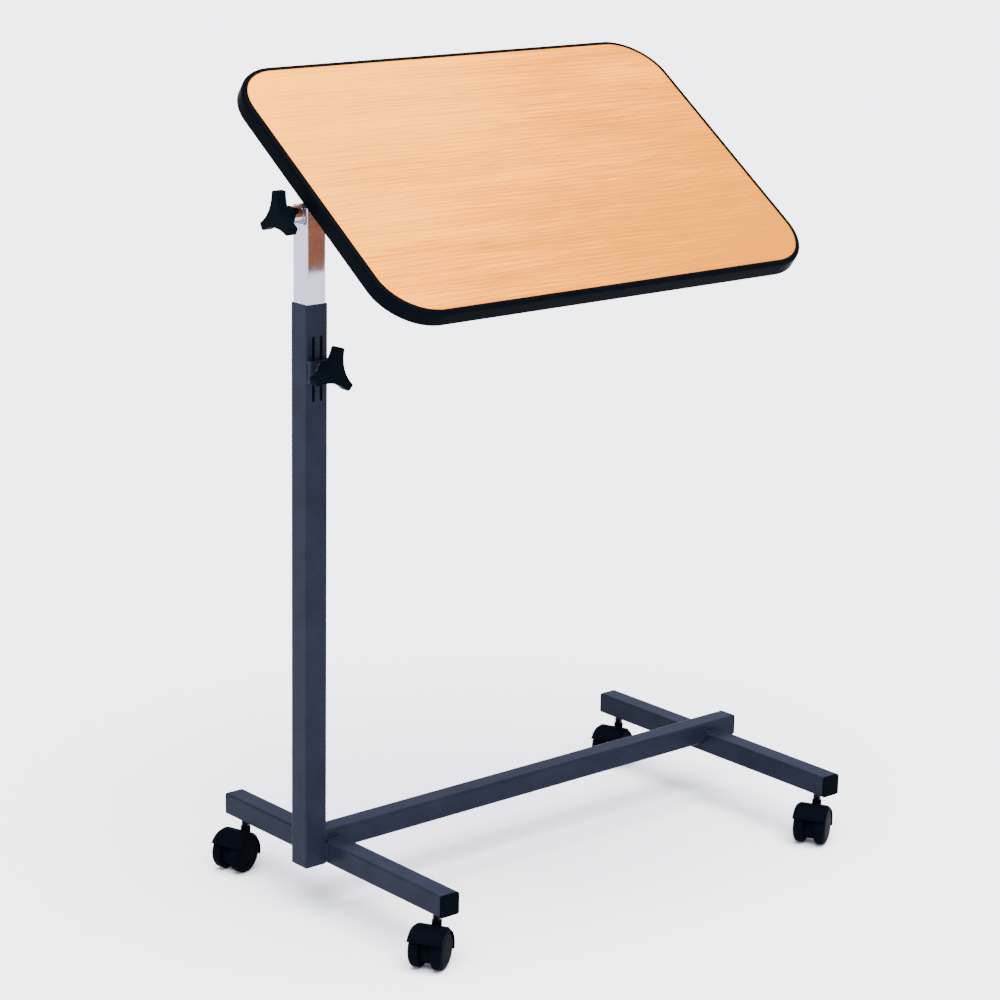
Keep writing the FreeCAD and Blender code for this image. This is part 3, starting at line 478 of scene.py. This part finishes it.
bpy.ops.transform.resize(value=(rim, rim, 1), center_override=(0, 0, 0))
bpy.ops.mesh.inset(thickness=rim * WHEEL_RADIUS - AXLE_BORE)
bpy.ops.mesh.extrude_region_move(TRANSFORM_OT_translate={"value": (0, 0, AXLE_BORE_DEPTH)})
bpy.ops.object.mode_set(mode="OBJECT")
bpy.ops.object.shade_smooth_by_angle(angle=math.radians(32))
wheel.data.materials.append(plug_plastic)
for caster in casters:
    for side, sign in (("left", 1), ("right", -1)):
        joint = joints[caster + "_roll_" + side]
        copy = wheel.copy()
        copy.data = wheel.data.copy()
        copy.name = caster + "_" + side + "_moulded_wheel"
        bpy.context.scene.collection.objects.link(copy)
        heading = (Vector(joint["axis"]) * sign).to_track_quat("Z", "Y").to_matrix().to_4x4()
        copy.matrix_world = Matrix.Translation(joint["pos_m"]) @ heading
        bpy.ops.object.select_all(action="DESELECT")
        copy.select_set(True)
        bpy.context.view_layer.objects.active = copy
        bpy.ops.object.transform_apply(location=True, rotation=True, scale=True)
        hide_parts(caster + "_wheel_" + side)
        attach(copy, caster + "_wheel_" + side)
bpy.data.objects.remove(wheel)
dress([caster + "_hood" for caster in casters], plug_plastic)

# ---- Clamp nut ----------------------------------------------------------------------------------
# A zinc-plated hexagon nut, chamfered at its corners, welded to the bridge. The height stud runs
# through it.

NUT_BORE = 4.0 * MM
NUT_CHAMFER = 0.75 * MM
nut_low, nut_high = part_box("clamp_nut")
nut_middle = (nut_low + nut_high) / 2
nut_length = nut_high.y - nut_low.y
nut_corner = (nut_high.x - nut_low.x) / 2
bpy.ops.object.select_all(action="DESELECT")
bpy.ops.mesh.primitive_cylinder_add(vertices=48, radius=nut_corner, depth=nut_length)
chamfer = bpy.context.object
select_faces(chamfer, lambda face: abs(face.normal.z) > 0.9)
bpy.ops.mesh.bevel(offset=NUT_CHAMFER, segments=1)
bpy.ops.object.mode_set(mode="OBJECT")
bpy.ops.object.select_all(action="DESELECT")
bpy.ops.mesh.primitive_cylinder_add(vertices=48, radius=NUT_BORE, depth=2 * nut_length)
bore = bpy.context.object
bpy.ops.object.select_all(action="DESELECT")
bpy.ops.mesh.primitive_cylinder_add(vertices=6, radius=nut_corner, depth=nut_length,
                                    rotation=(0, 0, math.radians(30)))
nut = bpy.context.object
nut.name = "hexagon_clamp_nut"
for cutter, operation in ((chamfer, "INTERSECT"), (bore, "DIFFERENCE")):
    cut = nut.modifiers.new("cut", "BOOLEAN")
    cut.operation = operation
    cut.object = cutter
    cut.solver = "EXACT"
    bpy.ops.object.modifier_apply(modifier=cut.name)
    bpy.data.objects.remove(cutter)
nut.matrix_world = Matrix.Translation(nut_middle) @ Matrix.Rotation(math.pi / 2, 4, "X") \
    @ Matrix.Rotation(math.radians(30), 4, "Z")
bpy.ops.object.transform_apply(location=True, rotation=True, scale=True)
bpy.ops.object.shade_smooth_by_angle(angle=math.radians(20))
nut.data.materials.clear()
nut.data.materials.append(zinc)
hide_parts("clamp_nut")
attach(nut, "base")

# ---- Board screws -------------------------------------------------------------------------------
# Eight zinc-plated pan-head screws with a cross recess hold the cross rails to the board. Each head
# sits on the lower face of its rail; the shank is hidden in the rail and the board.

HEAD_RADIUS = 4.1 * MM
HEAD_HEIGHT = 2.4 * MM
HEAD_ROUND = 1.3 * MM
SHANK_RADIUS = 1.9 * MM
SHANK_LENGTH = 19.0 * MM
RECESS_WIDTH = 1.0 * MM
RECESS_LENGTH = 4.2 * MM
RECESS_DEPTH = 1.5 * MM
HEAD_LEVEL = 10.9 * MM  # lower face of the cross rails, square to the board, from the tilt axis
RECESS_TURN = 9.0  # radians for each metre along a rail, so that no two recesses stand alike
SCREWS_ALONG_RAIL = (-105.0 * MM, -45.0 * MM, 45.0 * MM, 105.0 * MM)
mount = frame["record"]["mounts"][0]
TILT = math.atan2(-mount["axis"][1], mount["axis"][2])
pivot = Vector(joints["table_tilt"]["pos_m"])
bpy.ops.object.select_all(action="DESELECT")
bpy.ops.mesh.primitive_cylinder_add(vertices=32, radius=HEAD_RADIUS, depth=HEAD_HEIGHT,
                                    location=(0, 0, -HEAD_HEIGHT / 2))
screw = bpy.context.object
bpy.ops.object.transform_apply(location=True)
select_faces(screw, lambda face: face.normal.z < -0.9)
bpy.ops.mesh.bevel(offset=HEAD_ROUND, segments=5)
bpy.ops.object.mode_set(mode="OBJECT")
for turn in (0.0, math.pi / 2):
    bpy.ops.object.select_all(action="DESELECT")
    bpy.ops.mesh.primitive_cube_add(size=1.0, location=(0, 0, -HEAD_HEIGHT), rotation=(0, 0, turn),
                                    scale=(RECESS_LENGTH, RECESS_WIDTH, 2 * RECESS_DEPTH))
    slot_cutter = bpy.context.object
    bpy.context.view_layer.objects.active = screw
    cut = screw.modifiers.new("recess", "BOOLEAN")
    cut.operation = "DIFFERENCE"
    cut.object = slot_cutter
    cut.solver = "EXACT"
    bpy.ops.object.modifier_apply(modifier=cut.name)
    bpy.data.objects.remove(slot_cutter)
select_faces(screw, lambda face: face.normal.z > 0.9 and abs(face.center.z) < SAME_PLACE)
bpy.ops.mesh.inset(thickness=HEAD_RADIUS - SHANK_RADIUS)
bpy.ops.mesh.extrude_region_move(TRANSFORM_OT_translate={"value": (0, 0, SHANK_LENGTH)})
bpy.ops.object.mode_set(mode="OBJECT")
screw.data.materials.clear()
screw.data.materials.append(zinc)
screws = []
for rail in ("cross_rail_left", "cross_rail_right"):
    rail_low, rail_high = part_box(rail)
    for along in SCREWS_ALONG_RAIL:
        copy = screw.copy()
        copy.data = screw.data.copy()
        bpy.context.scene.collection.objects.link(copy)
        tilt = Matrix.Rotation(TILT, 4, "X")
        place = pivot + tilt @ Vector((0, along, HEAD_LEVEL))
        place.x = (rail_low.x + rail_high.x) / 2
        copy.matrix_world = Matrix.Translation(place) @ tilt @ Matrix.Rotation(RECESS_TURN * along, 4, "Z")
        screws.append(copy)
bpy.ops.object.select_all(action="DESELECT")
for copy in screws:
    copy.select_set(True)
bpy.context.view_layer.objects.active = screws[0]
bpy.ops.object.join()
bpy.ops.object.transform_apply(location=True, rotation=True, scale=True)
bpy.ops.object.shade_smooth_by_angle(angle=math.radians(30))
cross_head_screws = screws[0]
cross_head_screws.name = "cross_head_screws"
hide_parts("board_screws")
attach(cross_head_screws, "tabletop")
bpy.data.objects.remove(screw)

# ---- Edge moulding ------------------------------------------------------------------------------
# Soft black PVC pushed over the board's edge, with a thin lip above and below. Extrusion leaves it
# smooth and satin.

DIE_WAVE = 1.2 * MM
edge_plastic = moulded_plastic("extruded_pvc", "#030507", "#06090D", 0.28, 0.38, DIE_WAVE)
dress(["edge_moulding"], edge_plastic)

# ---- Board --------------------------------------------------------------------------------------
# Particle board with beech-print laminate on both sides. The print runs along the board: fine streaks, short
# darker pores and slow random changes of tone; over these lies a painted shade that darkens the board
# towards the right and the near edge. A melamine film gives a satin gloss.

board_low, board_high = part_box("top_laminate")
CLOUD = 34.0 * MM
CLOUD_LENGTH = 260.0 * MM
BAND = 6.0 * MM
BAND_LENGTH = 150.0 * MM
STREAK = 1.2 * MM
STREAK_LENGTH = 45.0 * MM
RING_PITCH = 6.0 * MM
SWAY_LENGTH = 60.0 * MM
PORE = 0.55 * MM  # real pores are finer; these are as fine as can be seen
PORE_LENGTH = 3.2 * MM
BAND_SHARE = 0.4
RING_SHARE = 0.2
STREAK_SHARE = 0.42
GRAIN_CONTRAST = 1.45
LEFT_SHADE_SHIFT = -0.38  # painted shade: the colour darkens slowly towards the right and the near edge
RIGHT_SHADE_SHIFT = -0.04
NEAR_SHADE_SHIFT = 0.19
FAR_SHADE_SHIFT = -0.09
ONE_RING = 0.314  # the wave's scale that gives one ring for each unit
LAMINATE_SHINE = 0.05
PORE_TONE = "#B8622A"


def beech_laminate(name, stops, shift):
    """Beech-print melamine laminate; the grain runs along X on the tilted board."""
    material, shader = new_material(name, {"Specular IOR Level": LAMINATE_SHINE})
    place = add_node(material, "ShaderNodeTexCoord", {}, {})
    level = add_node(material, "ShaderNodeMapping", {},
                     {"Vector": place.outputs["Object"], "Rotation": (-TILT, 0, 0)})

    def grain(length, width, detail, distortion):
        """Noise drawn out along the board."""
        scaled = add_node(material, "ShaderNodeMapping", {},
                          {"Vector": level.outputs["Vector"], "Location": (shift, shift, 0),
                           "Scale": (1 / length, 1 / width, 1 / width)})
        return add_node(material, "ShaderNodeTexNoise", {},
                        {"Vector": scaled.outputs["Vector"], "Scale": 1.0, "Detail": detail,
                         "Distortion": distortion}).outputs["Fac"]

    clouds = grain(CLOUD_LENGTH, CLOUD, 2.0, 0.3)
    streaks = grain(STREAK_LENGTH, STREAK, 3.0, 0.4)
    bands = grain(BAND_LENGTH, BAND, 2.0, 0.8)
    pores = grain(PORE_LENGTH, PORE, 1.0, 0.0)
    sway = add_node(material, "ShaderNodeMapping", {},
                    {"Vector": level.outputs["Vector"], "Location": (shift, shift, 0),
                     "Scale": (1 / SWAY_LENGTH, 1 / RING_PITCH, 0)})
    rings = add_node(material, "ShaderNodeTexWave", {"bands_direction": "Y", "wave_profile": "SAW"},
                     {"Vector": sway.outputs["Vector"], "Scale": ONE_RING, "Distortion": 7.0,
                      "Detail": 2.0, "Detail Scale": 0.8, "Detail Roughness": 0.45})

    def mixed(share, first, second):
        """A weighted mean of two values."""
        node = add_node(material, "ShaderNodeMix", {"data_type": "FLOAT"}, {"Factor": share})
        link(material, first, node, 2)
        link(material, second, node, 3)
        return node.outputs[0]

    broad = mixed(BAND_SHARE, clouds, bands)
    lined = mixed(RING_SHARE, broad, rings.outputs["Fac"])
    grained = mixed(STREAK_SHARE, lined, streaks)
    along = add_node(material, "ShaderNodeSeparateXYZ", {}, {"Vector": place.outputs["Object"]})
    # Painted shade: the tone is pushed darker towards the right and the near edge of the board, where the
    # light falls off.
    painted_shade_across = add_node(material, "ShaderNodeMapRange", {},
                     {"Value": along.outputs["X"], "From Min": board_low.x, "From Max": board_high.x,
                      "To Min": LEFT_SHADE_SHIFT, "To Max": RIGHT_SHADE_SHIFT})
    painted_shade_down = add_node(material, "ShaderNodeMapRange", {},
                    {"Value": along.outputs["Z"], "From Min": board_low.z, "From Max": board_high.z,
                     "To Min": NEAR_SHADE_SHIFT, "To Max": FAR_SHADE_SHIFT})
    painted_shade = add_node(material, "ShaderNodeMath", {"operation": "ADD"}, {})
    link(material, painted_shade_across.outputs["Result"], painted_shade, 0)
    link(material, painted_shade_down.outputs["Result"], painted_shade, 1)
    total = add_node(material, "ShaderNodeMath", {"operation": "MULTIPLY_ADD"}, {})
    link(material, grained, total, 0)
    total.inputs[1].default_value = GRAIN_CONTRAST
    link(material, painted_shade.outputs["Value"], total, 2)
    tones = add_node(material, "ShaderNodeValToRGB", {}, {"Fac": total.outputs["Value"]})
    ramp = tones.color_ramp
    ramp.elements[0].position = stops[0][0]
    ramp.elements[0].color = linear_colour(stops[0][1])
    ramp.elements[1].position = stops[-1][0]
    ramp.elements[1].color = linear_colour(stops[-1][1])
    for position, code in stops[1:-1]:
        ramp.elements.new(position).color = linear_colour(code)
    pore_mask = add_node(material, "ShaderNodeMapRange", {},
                         {"Value": pores, "From Min": 0.66, "From Max": 0.74, "To Min": 0.0, "To Max": 0.3})
    inked = add_node(material, "ShaderNodeMix", {"data_type": "RGBA"}, {})
    link(material, pore_mask.outputs["Result"], inked, 0)
    link(material, tones.outputs["Color"], inked, 6)
    inked.inputs[7].default_value = linear_colour(PORE_TONE)
    link(material, inked.outputs[2], shader, "Base Color")
    gloss = add_node(material, "ShaderNodeMapRange", {},
                     {"Value": streaks, "To Min": 0.38, "To Max": 0.5})
    link(material, gloss.outputs["Result"], shader, "Roughness")
    bump = add_node(material, "ShaderNodeBump", {},
                    {"Height": streaks, "Strength": 0.05, "Distance": 0.05 * MM})
    link(material, bump.outputs["Normal"], shader, "Normal")
    return material


TOP_TONES = [(0.26, "#FFA01C"), (0.43, "#F49010"), (0.57, "#DA7D07"), (0.74, "#B86B02")]
# The backing is the same beech print as the top, given darker tones: painted shade for the underside, which
# lies in the board's shadow.
SHADED_BACK_TONES = [(0.25, "#A86424"), (0.45, "#98571A"), (0.6, "#884B12"), (0.8, "#743D0B")]
dress(["top_laminate"], beech_laminate("beech_print_laminate", TOP_TONES, 0.0))
dress(["backing_laminate"], beech_laminate("shaded_beech_backing_laminate", SHADED_BACK_TONES, 7.3))
WOOD_CHIP = 2.0 * MM


def particle_board():
    """Pressed wood chips: pale flecks of uneven size, seen only where a cut face shows."""
    material, shader = new_material("particle_board", {"Roughness": 0.9})
    place = add_node(material, "ShaderNodeTexCoord", {}, {})
    chips = add_node(material, "ShaderNodeTexVoronoi", {},
                     {"Vector": place.outputs["Object"], "Scale": 1 / WOOD_CHIP})
    tones = add_node(material, "ShaderNodeValToRGB", {}, {"Fac": chips.outputs["Distance"]})
    tones.color_ramp.elements[0].color = linear_colour("#A9865C")
    tones.color_ramp.elements[1].color = linear_colour("#CDB083")
    link(material, tones.outputs["Color"], shader, "Base Color")
    return material


dress(["board_core"], particle_board())
